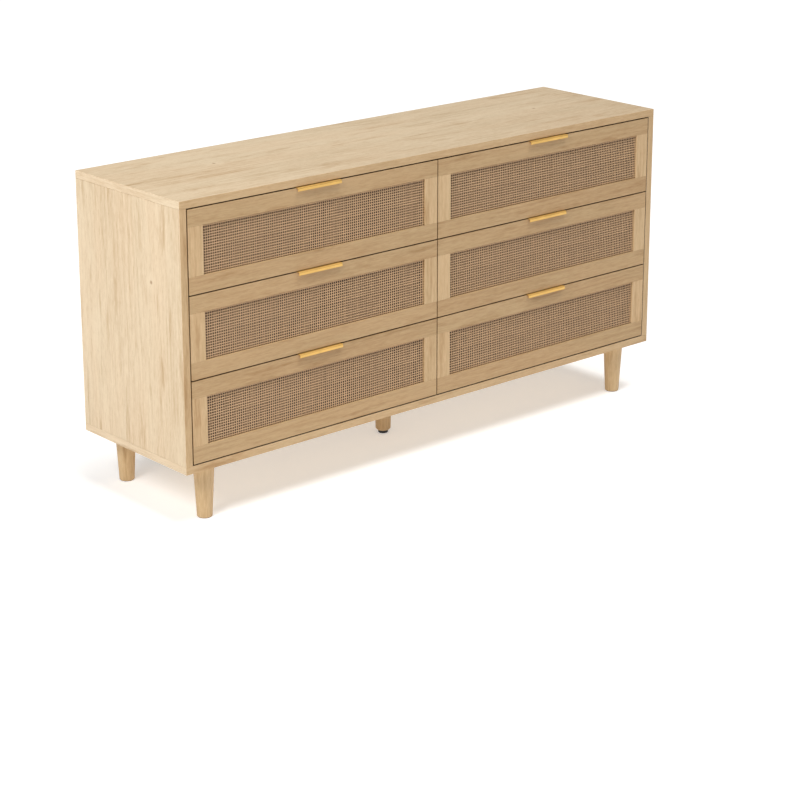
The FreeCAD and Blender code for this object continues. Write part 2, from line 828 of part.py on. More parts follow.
side_panel = make_side_panel()
back_panel = make_back_panel()
bay_runners = [piece for row in range(len(ROWS)) for piece in case_bay_runners(row)]
nodes += [make_top_panel(), make_bottom_panel(), side_panel]
nodes.append(group("right_side_panel", [mirrored(side_panel)]))
nodes += [make_divider(), group("back_panels", both_sides([back_panel]))]
nodes += [make_corner_legs(), make_centre_leg(), make_foot()]
nodes.append(group("case_runners", both_sides(bay_runners)))
nodes += [make_case_fasteners(), make_case_dowels()]


# ------------------------------------------------------------------ the bottom left drawer
def make_front():
    """Front: a backing board with two rails along it and two stiles between them."""
    backing_front = front_plane + dim.frame_thickness
    low = (front_left, backing_front, front_bottom)
    backing = Board("backing_board", low, (front_right, front_back, front_top), dim.front_round)
    groove_low = (box_inner_left - dim.box_groove, front_back - dim.box_groove, panel_floor)
    backing.groove("bottom_groove", groove_low, (box_inner_right + dim.box_groove, front_back, panel_top))
    bolt_xs = (box_left + dim.bolt_line, box_right - dim.bolt_line)
    bolts = [(x, front_back, z) for x in bolt_xs for z in cam_heights]
    backing.bore("bolt_holes", "-y", bolts, bolt_hole, dim.bolt_grip)
    pull_screws = [(x, front_back, pull_screw_height) for x in pull_screw_places]
    backing.bore("pull_screw_holes", "-y", pull_screws, pilot_radius, dim.screw_length - dim.pull_sheet)
    width = dim.frame_width
    rails = {
        "bottom_rail": (front_left, front_right, front_bottom, front_bottom + width),
        "top_rail": (front_left, front_right, front_top - width, front_top),
        "left_stile": (front_left, front_left + width, front_bottom + width, front_top - width),
        "right_stile": (front_right - width, front_right, front_bottom + width, front_top - width),
    }
    frame = []
    for name, (left, right, bottom, top) in rails.items():
        piece = Board(name, (left, front_plane, bottom), (right, backing_front, top), dim.front_round)
        frame.append(piece.body)
    return [backing.body] + frame


def make_cane():
    """Cane webbing, laid on the backing board inside the frame."""
    edge = dim.frame_width + dim.cane_slack
    backing_front = front_plane + dim.frame_thickness
    low = (front_left + edge, backing_front - dim.cane_thickness, front_bottom + edge)
    high = (front_right - edge, backing_front, front_top - edge)
    return [Board("cane", low, high, dim.thin_round).body]


def make_pull():
    """Bent brass pull: a plate over the front's top edge, a lip before it and a flange behind."""
    low = (front_centre - dim.pull_length / 2, front_plane, front_top)
    body = new_body("pull", low)
    metal = dim.pull_sheet
    front = -dim.pull_reach
    back = dim.front_thickness
    outline = [(front, -dim.lip_drop), (front + metal, -dim.lip_drop), (front + metal, 0), (back, 0)]
    outline += [(back, -dim.flange_drop), (back + metal, -dim.flange_drop)]
    outline += [(back + metal, metal), (front, metal)]
    section = new_sketch(body, "pull_section", "x")
    add_outline(section, outline)
    extrude(body, "Pad", section, dim.pull_length)
    round_edges(body, dim.bend_radius, runs_along_x(front, metal))
    round_edges(body, dim.bend_radius - metal, runs_along_x(front + metal, 0))
    holes = [(x, front_back, pull_screw_height) for x in pull_screw_places]
    bore(body, low, "pull_holes", "+y", holes, pilot_radius, metal)
    return [body]


def make_box():
    """Drawer box: two sides, a back between them, a bottom in grooves, and the back's dowels."""
    side_high = (box_inner_left, box_back, box_top)
    side = Board("box_side", (box_left, front_back, box_floor), side_high, dim.box_round)
    side.groove(
        "bottom_groove",
        (box_inner_left - dim.box_groove, front_back, panel_floor),
        (box_inner_left, box_back, panel_top),
    )
    back_face = box_back - dim.side_thickness
    cams = [(box_left, front_back + dim.cam_distance, z) for z in cam_heights]
    bolts = [(box_left + dim.bolt_line, front_back, z) for z in cam_heights]
    side.bore("cam_holes", "+x", cams, dim.cam_radius, dim.cam_pocket)
    side.bore("bolt_holes", "+y", bolts, bolt_hole, dim.cam_distance)
    pilots = [(box_left, profile_front + place, screw_height) for place in runner_screw_places]
    side.bore("runner_holes", "+x", pilots, pilot_radius, dim.screw_length - dim.profile_sheet)
    dowel_y = box_back - dim.side_thickness / 2
    joints = [(box_inner_left, dowel_y, z) for z in cam_heights]
    side.bore("dowel_holes", "-x", joints, dowel_hole, dim.dowel_grip)
    back_low = (box_inner_left, back_face, box_floor)
    back = Board("box_back", back_low, (box_inner_right, box_back, box_top), dim.box_round)
    back.groove(
        "bottom_groove",
        (box_inner_left, back_face, panel_floor),
        (box_inner_right, back_face + dim.box_groove, panel_top),
    )
    far_joints = [(box_inner_right, dowel_y, z) for z in cam_heights]
    back.bore("left_dowel_holes", "+x", joints, dowel_hole, dowel_rest)
    back.bore("right_dowel_holes", "-x", far_joints, dowel_hole, dowel_rest)
    reach = dim.box_groove - dim.groove_slack
    bottom_low = (box_inner_left - reach, front_back - reach, panel_floor)
    bottom_high = (box_inner_right + reach, back_face + reach, panel_top)
    bottom = Board("box_bottom", bottom_low, bottom_high, dim.thin_round)
    dowel_x = box_inner_left - dim.dowel_grip
    dowels = [placed(dowel, (dowel_x, dowel_y, z), to_right) for z in cam_heights]
    return both_sides([side.body] + dowels, bay_centre) + [back.body, bottom.body]


def make_drawer_runners():
    """Both roller profiles of the drawer and the axles of its rear rollers."""
    axle = placed(drawer_axle, (profile_face, drawer_axle_y, axle_height), to_left)
    return both_sides([profile, axle], bay_centre)


def make_drawer_fasteners():
    """Cam locks with their bolts, runner screws and the pull's screws."""
    cam_x = box_left + dim.cam_pocket
    cam_y = front_back + dim.cam_distance
    cams = [placed(cam, (cam_x, cam_y, z), to_left_bore_forward) for z in cam_heights]
    bolts = [placed(cam_bolt, (box_left + dim.bolt_line, front_back, z), to_front) for z in cam_heights]
    screws = [
        placed(screw, (profile_face, profile_front + place, screw_height), to_left)
        for place in runner_screw_places
    ]
    flange = front_back + dim.pull_sheet
    pull_screws = [placed(screw, (x, flange, pull_screw_height), to_back) for x in pull_screw_places]
    return both_sides(cams + bolts + screws, bay_centre) + pull_screws


def make_drawer_rollers():
    """The drawer's own rollers, at the back of its profiles, on the case's tracks."""
    place = (profile_face - dim.drawer_roller_play, drawer_axle_y, axle_height)
    return both_sides([placed(roller, place, to_left)], bay_centre)


def make_case_rollers():
    """The case's rollers, at the front of its channels, under the drawer's flanges."""
    place = (channel_screw_face + dim.roller_play, case_axle_y, axle_height)
    return both_sides([placed(roller, place, to_right)], bay_centre)


drawer_parts = {
    "drawer_front": make_front(),
    "drawer_cane_panel": make_cane(),
    "drawer_pull": make_pull(),
    "drawer_box": make_box(),
    "drawer_runners": make_drawer_runners(),
    "drawer_fasteners": make_drawer_fasteners(),
    "drawer_rollers": make_drawer_rollers(),
    "case_rollers": make_case_rollers(),
}

# ------------------------------------------------------------------ all six drawers
for part_name, part_pieces in drawer_parts.items():
    left_part = group(f"left_{part_name}_pieces", part_pieces)
    columns = {"left": left_part, "right": mirrored(left_part)}
    for column, part in columns.items():
        for row, row_name in enumerate(ROWS):
            node = group(f"{row_name}_{column}_{part_name}", [part])
            node.setExpression("Placement.Base.z", str(row * row_pitch))
            nodes.append(node)

# ------------------------------------------------------------------ check and write
document.recompute()
for item in document.Objects:
    if "Invalid" in item.State or "Error" in item.State:
        owners = [parent.Label for parent in item.InList]
        raise RuntimeError(f"{item.Label} of {owners} failed to build")
    if item.TypeId == "PartDesign::Pocket":
        removed = item.BaseFeature.Shape.Volume - item.Shape.Volume
        if removed <= 0:
            raise RuntimeError(f"{item.Label} cuts nothing")
for item in nodes:
    if item.Shape.isNull() or not item.Shape.isValid():
        raise RuntimeError(f"{item.Label} has no valid shape")

os.makedirs("parts", exist_ok=True)
for item in nodes:
    item.Shape.exportStep(f"parts/{item.Label}.step")
print(f"{len(nodes)} nodes written")
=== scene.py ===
import math
import random

import bpy
from mathutils import Euler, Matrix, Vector

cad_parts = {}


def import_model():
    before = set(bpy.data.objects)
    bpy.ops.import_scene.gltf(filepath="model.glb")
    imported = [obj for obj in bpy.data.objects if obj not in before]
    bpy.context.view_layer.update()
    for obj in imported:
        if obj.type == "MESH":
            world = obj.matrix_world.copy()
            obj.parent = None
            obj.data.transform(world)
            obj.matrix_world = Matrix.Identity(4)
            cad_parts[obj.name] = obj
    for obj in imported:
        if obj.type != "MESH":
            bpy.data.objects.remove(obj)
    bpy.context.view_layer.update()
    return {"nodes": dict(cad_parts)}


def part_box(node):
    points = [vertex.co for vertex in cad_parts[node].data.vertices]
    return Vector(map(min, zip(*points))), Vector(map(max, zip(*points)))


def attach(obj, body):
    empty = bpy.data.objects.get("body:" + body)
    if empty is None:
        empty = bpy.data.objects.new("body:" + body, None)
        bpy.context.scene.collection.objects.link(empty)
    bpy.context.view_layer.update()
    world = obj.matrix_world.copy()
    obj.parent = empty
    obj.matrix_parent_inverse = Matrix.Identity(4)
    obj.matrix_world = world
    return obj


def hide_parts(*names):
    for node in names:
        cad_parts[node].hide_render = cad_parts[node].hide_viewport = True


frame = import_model()

bl_info = {
    "name": "Cane-front dresser",
    "version": (1, 0, 0),
    "blender": (4, 5, 0),
    "location": "3D View > Sidebar > Dresser",
    "description": "Finishes and woven cane for a six-drawer dresser, with its studio",
    "category": "Object",
}

ROWS = ("top", "middle", "bottom")
COLUMNS = ("left", "right")
DRAWERS = [f"{row}_{column}" for row in ROWS for column in COLUMNS]
SEED = 7
WHITE = (1.0, 1.0, 1.0, 1.0)

# Tints over the oak's colours, piece by piece. The front-edge tint is painted shade; the rail, stile and leg
# tints are partly the wood's own tone and partly painted shade, darker and warmer where the case is lit
# less.
PLAIN_TINT = (1.0, 1.0, 1.0)
FRONT_EDGE_SHADE = (0.82, 0.72, 0.58)
RAIL_TONE_AND_SHADE = (0.72, 0.61, 0.465)
STILE_TONE_AND_SHADE = (0.88, 0.78, 0.64)
BOX_TINT = (0.86, 0.77, 0.64)
LEG_TONE_AND_SHADE = (0.88, 0.78, 0.63)

BLACK_PLASTIC = (0.03, 0.03, 0.032)
WHITE_ENAMEL = (0.82, 0.82, 0.79)
WHITE_NYLON = (0.86, 0.85, 0.80)
WARM_BRASS = (0.88, 0.55, 0.165)
BRIGHT_ZINC = (0.62, 0.63, 0.65)
DULL_ZINC = (0.45, 0.46, 0.48)
# A near-black sheet behind the cane, seen through its holes: painted shade in the holes.
SHADE_SHEET_DARK = (0.014, 0.004, 0.0)
SHADE_SHEET_LIGHT = (0.028, 0.010, 0.002)

# How far in from a node's outside its grain or tint changes, in metres.
EDGE_DEPTH = 0.0005
FRAME_WIDTH = 0.040
FRAME_DEPTH = 0.0051
BOX_SIDE = 0.0155

# Shares that shape the cane's strands.
CROWN = 0.62  # flat top of a strand, of its width
CROSSING = 0.26  # half the length of a crossing, of the pitch
NARROWEST = 0.9  # narrowest strand, of the set width
WIDEST = 1.08  # widest strand, of the set width
RIPPLE = 0.3  # straying along one strand, of the wander


# ------------------------------------------------------------------ sizes and colours
class OakSettings(bpy.types.PropertyGroup):
    """Colours and grain of the oak-faced boards."""

    light: bpy.props.FloatVectorProperty(
        name="Light wood", description="Early wood between the grain lines", subtype="COLOR",
        size=3, min=0, max=1, default=(0.71, 0.57, 0.39),
    )
    dark: bpy.props.FloatVectorProperty(
        name="Dark wood", description="Late wood in the grain lines", subtype="COLOR",
        size=3, min=0, max=1, default=(0.50, 0.35, 0.195),
    )
    pore: bpy.props.FloatVectorProperty(
        name="Pores", description="Short open pores along the grain", subtype="COLOR",
        size=3, min=0, max=1, default=(0.36, 0.22, 0.11),
    )
    knot: bpy.props.FloatVectorProperty(
        name="Knots", description="Small brown knots", subtype="COLOR",
        size=3, min=0, max=1, default=(0.30, 0.16, 0.07),
    )
    ring_pitch: bpy.props.FloatProperty(
        name="Ring pitch", description="Mean distance between grain lines across a board",
        subtype="DISTANCE", unit="LENGTH", min=0.002, max=0.1, default=0.013,
    )
    gloss: bpy.props.FloatProperty(
        name="Roughness", description="Roughness of the lacquered laminate",
        subtype="FACTOR", min=0, max=1, default=0.48,
    )
    blush: bpy.props.FloatVectorProperty(
        name="Blush", description="Pinker wood between yellower stretches", subtype="COLOR",
        size=3, min=0, max=1, default=(0.54, 0.475, 0.46),
    )
    # Painted shade: the colour the oak is darkened to deep in narrow gaps and tight corners, where shade
    # falls.
    gap: bpy.props.FloatVectorProperty(
        name="Gaps", description="Colour deep in the narrow gaps round the fronts", subtype="COLOR",
        size=3, min=0, max=1, default=(0.05, 0.014, 0.003),
    )


class CaneSettings(bpy.types.PropertyGroup):
    """Strands of the woven cane in the drawer fronts."""

    pitch: bpy.props.FloatProperty(
        name="Pitch", description="Distance from strand to strand, both ways",
        subtype="DISTANCE", unit="LENGTH", min=0.003, max=0.02, default=0.0061,
    )
    width: bpy.props.FloatProperty(
        name="Strand width", description="Width of one flat strand",
        subtype="DISTANCE", unit="LENGTH", min=0.001, max=0.01, default=0.0024,
    )
    thickness: bpy.props.FloatProperty(
        name="Strand thickness", description="Thickness of one flat strand",
        subtype="DISTANCE", unit="LENGTH", min=0.0002, max=0.002, default=0.0004,
    )
    wander: bpy.props.FloatProperty(
        name="Wander", description="How far a strand strays from its place",
        subtype="DISTANCE", unit="LENGTH", min=0, max=0.001, default=0.0003,
    )
    # The near-black sheet behind the cane is painted shade for its holes.
    shade_sheet: bpy.props.FloatProperty(
        name="Foil thickness", description="Thickness of the dark foil on the board behind the cane",
        subtype="DISTANCE", unit="LENGTH", min=0.0001, max=0.001, default=0.0002,
    )
    colour: bpy.props.FloatVectorProperty(
        name="Cane", description="Colour of the strands", subtype="COLOR",
        size=3, min=0, max=1, default=(0.548, 0.345, 0.182),
    )


class StudioSettings(bpy.types.PropertyGroup):
    """Camera and lights."""

    camera_place: bpy.props.FloatVectorProperty(
        name="Camera", description="Where the camera stands", subtype="TRANSLATION",
        unit="LENGTH", size=3, default=(-3.4365, -3.9606, 1.8981),
    )
    camera_turn: bpy.props.FloatProperty(
        name="Turn", description="Camera's turn to the right of straight ahead",
        subtype="ANGLE", unit="ROTATION", default=math.radians(41.412),
    )
    camera_tilt: bpy.props.FloatProperty(
        name="Tilt", description="Camera's tilt below the horizon",
        subtype="ANGLE", unit="ROTATION", default=math.radians(15.978),
    )
    lens: bpy.props.FloatProperty(
        name="Lens", description="Focal length on a 36 mm sensor, in millimetres", min=10, default=99.626,
    )
    rise: bpy.props.FloatProperty(
        name="Shift", description="Vertical shift of the lens", min=-0.5, max=0.5, default=-0.15,
    )


# ------------------------------------------------------------------ shader graphs
class Value:
    """A socket that takes part in sums: each operation adds its own Math node."""

    def __init__(self, graph, socket):
        self.graph = graph
        self.socket = socket

    def math(self, operation, other=0.0, swap=False):
        """One Math node on this value and another."""
        first, second = (other, self) if swap else (self, other)
        made = self.graph.node("ShaderNodeMath", {"operation": operation}, {0: first, 1: second})
        return Value(self.graph, made.outputs[0])

    def __add__(self, other):
        return self.math("ADD", other)

    __radd__ = __add__

    def __sub__(self, other):
        return self.math("SUBTRACT", other)

    def __rsub__(self, other):
        return self.math("SUBTRACT", other, swap=True)

    def __mul__(self, other):
        return self.math("MULTIPLY", other)

    __rmul__ = __mul__

    def __truediv__(self, other):
        return self.math("DIVIDE", other)

    def __gt__(self, other):
        return self.math("GREATER_THAN", other)

    def __lt__(self, other):
        return self.math("LESS_THAN", other)

    def __abs__(self):
        return self.math("ABSOLUTE")

    def fraction(self):
        """The part after the whole number."""
        return self.math("FRACT")

    def clamped(self):
        """Held between nothing and one."""
        return self.math("MAXIMUM", 0.0).math("MINIMUM", 1.0)

    def between(self, low, high):
        """One inside a range and nothing outside it."""
        return (self > low) * (self < high)

    def ramp(self, low, high):
        """Rises smoothly from nothing at low to one at high."""
        inputs = {"Value": self, "From Min": low, "From Max": high}
        made = self.graph.node("ShaderNodeMapRange", {"interpolation_type": "SMOOTHSTEP"}, inputs)
        return Value(self.graph, made.outputs["Result"])


class Graph:
    """The node tree of a new material, or of a world, with the shader at its end."""

    def __init__(self, name, world=None):
        self.material = world or bpy.data.materials.new(name)
        self.material.use_nodes = True
        self.tree = self.material.node_tree
        self.shader = self.tree.nodes["Background" if world else "Principled BSDF"]

    def socket(self, node, key):
        """A node's input by number, identifier or name."""
        if isinstance(key, int):
            return node.inputs[key]
        return next(item for item in node.inputs if key in (item.identifier, item.name))

    def put(self, node, key, value):
        """Sets an input, or links a socket to it."""
        target = self.socket(node, key)
        if isinstance(value, Value):
            value = value.socket
        if isinstance(value, bpy.types.NodeSocket):
            self.tree.links.new(value, target)
        else:
            target.default_value = value

    def node(self, kind, settings=None, inputs=None):
        """Adds a node: its settings first, then its inputs' values or links."""
        made = self.tree.nodes.new(kind)
        for key, value in (settings or {}).items():
            setattr(made, key, value)
        for key, value in (inputs or {}).items():
            self.put(made, key, value)
        return made

    def surface(self, **values):
        """Sets the shader's own inputs, with underscores for spaces."""
        for key, value in values.items():
            self.put(self.shader, key.replace("_", " ").title().replace("Ior", "IOR"), value)

    def place(self):
        """The three coordinates of a point on the piece, in metres."""
        coordinates = self.node("ShaderNodeTexCoord").outputs["Object"]
        split = self.node("ShaderNodeSeparateXYZ", inputs={0: coordinates})
        return [Value(self, output) for output in split.outputs]

    def vector(self, x, y, z):
        """Three values as one vector."""
        return self.node("ShaderNodeCombineXYZ", inputs={0: x, 1: y, 2: z}).outputs[0]

    def noise(self, vector, detail=2.0, roughness=0.5):
        """Noise at a vector, about 0.5."""
        inputs = {"Vector": vector, "Scale": 1.0, "Detail": detail, "Roughness": roughness}
        return Value(self, self.node("ShaderNodeTexNoise", inputs=inputs).outputs[0])

    def speckle(self, scale, detail):
        """Noise of one size in all directions."""
        x, y, z = self.place()
        return self.noise(self.vector(x * scale, y * scale, z * scale), detail)

    def cells(self, vector):
        """Distance to the nearest of some scattered points in a plane, and that point's own chance."""
        settings = {"voronoi_dimensions": "2D"}
        made = self.node("ShaderNodeTexVoronoi", settings, {"Vector": vector, "Scale": 1.0})
        chances = self.node("ShaderNodeSeparateColor", inputs={0: made.outputs["Color"]})
        return Value(self, made.outputs["Distance"]), Value(self, chances.outputs[0])

    def open_air(self, distance):
        """How open the space in front of the surface is, from ambient occlusion: nothing deep in narrow
        gaps, one in the open. The oak paints shade from it.
        """
        made = self.node("ShaderNodeAmbientOcclusion", {"samples": 8}, {"Distance": distance})
        return Value(self, made.outputs["AO"])

    def mix(self, factor, first, second, blend="MIX"):
        """A mixed colour."""
        settings = {"data_type": "RGBA", "blend_type": blend}
        inputs = {"Factor_Float": factor, "A_Color": self.colour(first), "B_Color": self.colour(second)}
        made = self.node("ShaderNodeMix", settings, inputs)
        return next(item for item in made.outputs if item.identifier == "Result_Color")

    @staticmethod
    def colour(value):
        """A colour with its alpha, or a socket as it is."""
        if isinstance(value, (bpy.types.NodeSocket, Value)):
            return value
        return (*value, 1.0)

    def bump(self, height, distance):
        """Sends a height to the shader's normal: a rise of one stands that distance, in metres, proud."""
        inputs = {"Height": height, "Distance": distance}
        self.put(self.shader, "Normal", self.node("ShaderNodeBump", inputs=inputs).outputs[0])


def scaled(colour, factor):
    """A colour made lighter or darker."""
    return tuple(min(1.0, part * factor) for part in colour)


# ------------------------------------------------------------------ finishes
def oak(name, axes, seed, turned=(), tint=PLAIN_TINT, knots=1.0):
    """Oak laminate. axes names the along, across and depth directions of the grain. Each of turned gives a
    test on the place, the axes that hold where it passes, and the tint there."""
    settings = bpy.context.scene.dresser_oak
    graph = Graph(name)
    place = graph.place()
    field = [place["xyz".index(axis)] for axis in axes]
    tone = tint
    for test, other_axes, other_tint in turned:
        where = test(*place)
        tone = graph.mix(where, tone, other_tint)
        if other_axes != axes:
            other = [place["xyz".index(axis)] for axis in other_axes]
            field = [now + (then - now) * where for now, then in zip(field, other)]
    along, across, depth = field
    shift = seed * 1.37

    def fibres(lengthwise, crosswise, detail, roughness=0.5, drift=1.0):
        """Noise drawn out along the grain."""
        vector = graph.vector(along * lengthwise + shift * drift, across * crosswise, depth * crosswise)
        return graph.noise(vector, detail, roughness)

    scatter = graph.vector(along * 3.1 + shift, across * 3.1 + shift * 1.7, 0.0)
    knot_distance, knot_chance = graph.cells(scatter)
    has_knot = (knot_chance > 0.55) * knots
    near_knot = (1.0 - knot_distance.ramp(0.0, 0.11)) * has_knot
    knot = (1.0 - knot_distance.ramp(0.004, 0.02)) * has_knot
    broad = graph.noise(graph.vector(along * 1.6 + shift, across * 7.0 + shift, depth * 7.0), 3.0)
    hue = graph.noise(graph.vector(along * 3.0 + shift * 2.0, across * 15.0, depth * 15.0 + shift), 3.0)
    sway = graph.noise(graph.vector(along * 0.9 + shift * 2.3, across * 5.0 + shift, depth * 5.0), 3.0, 0.45)
    ring = (across / settings.ring_pitch + sway * 9.0 + near_knot * near_knot * 1.2).fraction()
    late_wood = ring.ramp(0.25, 0.93) * (1.0 - ring.ramp(0.93, 1.0))
    fade = graph.noise(graph.vector(along * 1.7 + shift, across * 16.0 + shift * 5.0, depth * 9.0), 1.0)
    streaks = fibres(11.0, 150.0, 4.0, 0.66)
    wisps = fibres(6.0, 48.0, 3.0, 0.6, drift=3.0)
    dashes = fibres(45.0, 420.0, 3.0, 0.6)
    pores = fibres(95.0, 1500.0, 1.0)
    open_pores = pores.ramp(0.62, 0.72) * (0.35 + 0.65 * late_wood)

    grain = late_wood * fade.ramp(0.42, 0.72) * 0.24 + (streaks - 0.5) * 1.3 + (dashes - 0.5) * 1.3
    shade = grain + (broad - 0.5) * 0.8 + wisps.ramp(0.52, 0.74) * 0.6 + 0.22 - near_knot * 0.2
    shade = shade.clamped()
    colour = graph.mix(1.0, graph.mix(shade, settings.light, settings.dark), tone, "MULTIPLY")
    colour = graph.mix(hue.ramp(0.35, 0.65) * 0.4, colour, settings.blush, "SOFT_LIGHT")
    colour = graph.mix(open_pores * 0.45, colour, settings.pore)
    colour = graph.mix(knot * 0.75, colour, settings.knot)
    # Painted shade: ambient occlusion darkens the base colour toward the gap shade deep in narrow gaps and
    # tight corners.
    painted_gap_shade = 1.0 - graph.open_air(0.009).ramp(0.1, 0.45)
    colour = graph.mix(painted_gap_shade * 0.9, colour, settings.gap)
    roughness = settings.gloss + (streaks - 0.5) * 0.16 + open_pores * 0.12
    graph.surface(base_color=colour, roughness=roughness, specular_ior_level=0.3)
    graph.bump(streaks * 0.5 + dashes * 0.3 - open_pores * 0.9 - knot * 0.3, 0.00012)
    return graph.material


def beyond(half_length):
    """Test for the two end faces of a board that runs along X."""
    return lambda x, y, z: abs(x) > half_length


def before(front):
    """Test for the front edge of a board."""
    return lambda x, y, z: y < front


def dress(node, material):
    """Gives a CAD node its material in every slot."""
    piece = frame["nodes"][node]
    piece.data.materials.clear()
    piece.data.materials.append(material)
    return piece


def paint(name, colour, roughness):
    """Even coat with a faint orange-peel surface and slightly uneven gloss."""
    graph = Graph(name)
    peel = graph.speckle(900.0, 2.0)
    cloud = graph.speckle(14.0, 3.0)
    graph.surface(base_color=graph.mix(cloud.ramp(0.3, 0.7) * 0.35, colour, scaled(colour, 0.88)))
    graph.surface(roughness=roughness + (peel - 0.5) * 0.2 + (cloud - 0.5) * 0.1)
    graph.bump(peel, 0.00003)
    return graph.material


def brushed_brass():
    """Satin brass, brushed along the pull."""
    graph = Graph("satin_brass")
    x, y, z = graph.place()
    brush = graph.noise(graph.vector(x * 25.0, y * 2600.0, z * 2600.0), 3.0, 0.6)
    cloud = graph.speckle(30.0, 2.0).ramp(0.3, 0.7)
    colour = graph.mix(cloud, WARM_BRASS, scaled(WARM_BRASS, 0.9))
    graph.surface(base_color=colour, metallic=0.8, roughness=0.36 + brush * 0.2)
    graph.bump(brush, 0.00002)
    return graph.material


def zinc_steel():
    """Zinc-plated steel, a little mottled."""
    graph = Graph("zinc_steel")
    mottle = graph.speckle(260.0, 3.0)
    colour = graph.mix(mottle, BRIGHT_ZINC, DULL_ZINC)
    graph.surface(base_color=colour, metallic=1.0, roughness=0.28 + mottle * 0.2)
    graph.bump(mottle, 0.00002)
    return graph.material


def cane_strand():
    """Cane: warm tan strands with fibres both ways and paler and darker patches."""
    settings = bpy.context.scene.dresser_cane
    graph = Graph("cane")
    x, y, z = graph.place()
    across = graph.noise(graph.vector(x * 20.0, y * 100.0, z * 1400.0), 2.0)
    upright = graph.noise(graph.vector(x * 1400.0, y * 100.0, z * 20.0), 2.0)
    patch = graph.speckle(60.0, 3.0)
    fibre = (across + upright) * 0.5
    pale = scaled(settings.colour, 1.18)
    deep = scaled(settings.colour, 0.72)
    colour = graph.mix(fibre.ramp(0.36, 0.64), deep, pale)
    colour = graph.mix(patch.ramp(0.4, 0.75) * 0.5, colour, scaled(settings.colour, 0.85))
    graph.surface(base_color=colour, roughness=0.5 + (fibre - 0.5) * 0.3)
    graph.bump(fibre, 0.00005)
    return graph.material


def painted_shade_sheet():
    """Matt near-black sheet on the backing board, seen through the holes in the cane: painted shade that
    darkens the holes.
    """
    graph = Graph("painted_shade_sheet")
    fuzz = graph.speckle(1800.0, 2.0)
    graph.surface(base_color=graph.mix(fuzz, SHADE_SHEET_DARK, SHADE_SHEET_LIGHT), roughness=0.85)
    graph.bump(fuzz, 0.00005)
    return graph.material


# ------------------------------------------------------------------ woven cane
def strand(centres, lifts, half_width, half_thickness, sideways):
    """One flat strand: rings of four corners along a line of centres, closed at both ends."""
    low, high = -half_thickness, half_thickness
    section = ((-1.0, low), (-CROWN, high), (CROWN, high), (1.0, low))
    vertices = []
    for centre, lift in zip(centres, lifts):
        for side, height in section:
            offset = sideways * (side * half_width)
            vertices.append(centre + offset + Vector((0.0, -(lift + height), 0.0)))
    faces = []
    count = len(centres)
    for ring in range(count - 1):
        for corner in range(4):
            a = ring * 4 + corner
            b = ring * 4 + (corner + 1) % 4
            faces.append((a, a + 4, b + 4, b))
    faces.append((0, 1, 2, 3))
    last = (count - 1) * 4
    faces.append((last + 3, last + 2, last + 1, last))
    return vertices, faces


def woven_mesh(width, height, depth):
    """A sheet of plain weave about its own middle, in the XZ plane."""
    settings = bpy.context.scene.dresser_cane
    rng = random.Random(SEED)
    pitch = settings.pitch
    columns = round(width / pitch)
    rows = round(height / pitch)
    step_x = width / columns
    step_z = height / rows
    half_thickness = settings.thickness / 2
    swing = min(depth / 2, settings.thickness) - half_thickness
    vertices = []
    faces = []

    def add(made):
        """Joins a strand's vertices and faces to the sheet's."""
        start = len(vertices)
        vertices.extend(made[0])
        faces.extend(tuple(start + index for index in face) for face in made[1])

    def line(length, count, step, first):
        """Places along a strand, with how far it stands out at each: over, under and over again."""
        places = [-length / 2]
        lifts = [0.0]
        for crossing in range(count):
            middle = (crossing + 0.5) * step - length / 2
            up = 1.0 if (crossing + first) % 2 == 0 else -1.0
            for side in (-CROSSING, CROSSING):
                places.append(middle + side * step)
                lifts.append(up * swing)
        places.append(length / 2)
        lifts.append(0.0)
        return places, lifts

    for column in range(columns):
        middle = (column + 0.5) * step_x - width / 2 + rng.uniform(-1, 1) * settings.wander
        half = settings.width / 2 * rng.uniform(NARROWEST, WIDEST)
        places, lifts = line(height, rows, step_z, column)
        centres = [Vector((middle + rng.uniform(-1, 1) * settings.wander * RIPPLE, 0, z)) for z in places]
        add(strand(centres, lifts, half, half_thickness, Vector((-1, 0, 0))))
    for row in range(rows):
        middle = (row + 0.5) * step_z - height / 2 + rng.uniform(-1, 1) * settings.wander
        half = settings.width / 2 * rng.uniform(NARROWEST, WIDEST)
        places, lifts = line(width, columns, step_x, row + 1)
        centres = [Vector((x, 0, middle + rng.uniform(-1, 1) * settings.wander * RIPPLE)) for x in places]
        add(strand(centres, lifts, half, half_thickness, Vector((0, 0, 1))))

    mesh = bpy.data.meshes.new("cane_weave")
    mesh.from_pydata(vertices, [], faces)
    mesh.validate()
    mesh.update()
    return mesh


def sheet_mesh(name, width, height, depth):
    """A thin sheet about its own middle, in the XZ plane, its edges bevelled to both faces."""
    half = Vector((width / 2, depth / 2, height / 2))
    corners = ((-1, -1), (1, -1), (1, 1), (-1, 1))
    vertices = [
        Vector((side * (half.x - inset), y, end * (half.z - inset)))
        for y, inset in ((-half.y, depth), (0.0, 0.0), (half.y, depth))
        for side, end in corners
    ]
    faces = [(0, 1, 2, 3), (11, 10, 9, 8)]
    for level in (0, 4):
        for corner in range(4):
            following = (corner + 1) % 4
            faces.append((level + corner, level + 4 + corner, level + 4 + following, level + following))
    mesh = bpy.data.meshes.new(name)
    mesh.from_pydata(vertices, [], faces)
    mesh.update()
    return mesh


def add_piece(name, mesh, place, material, body, stands_for):
    """Puts a new piece in place, lets it ride on its body and has it stand for a CAD node."""
    piece = bpy.data.objects.new(name, mesh)
    bpy.context.scene.collection.objects.link(piece)
    piece.location = place
    if not mesh.materials:
        mesh.materials.append(material)
    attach(piece, body)
    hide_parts(stands_for)
    return piece


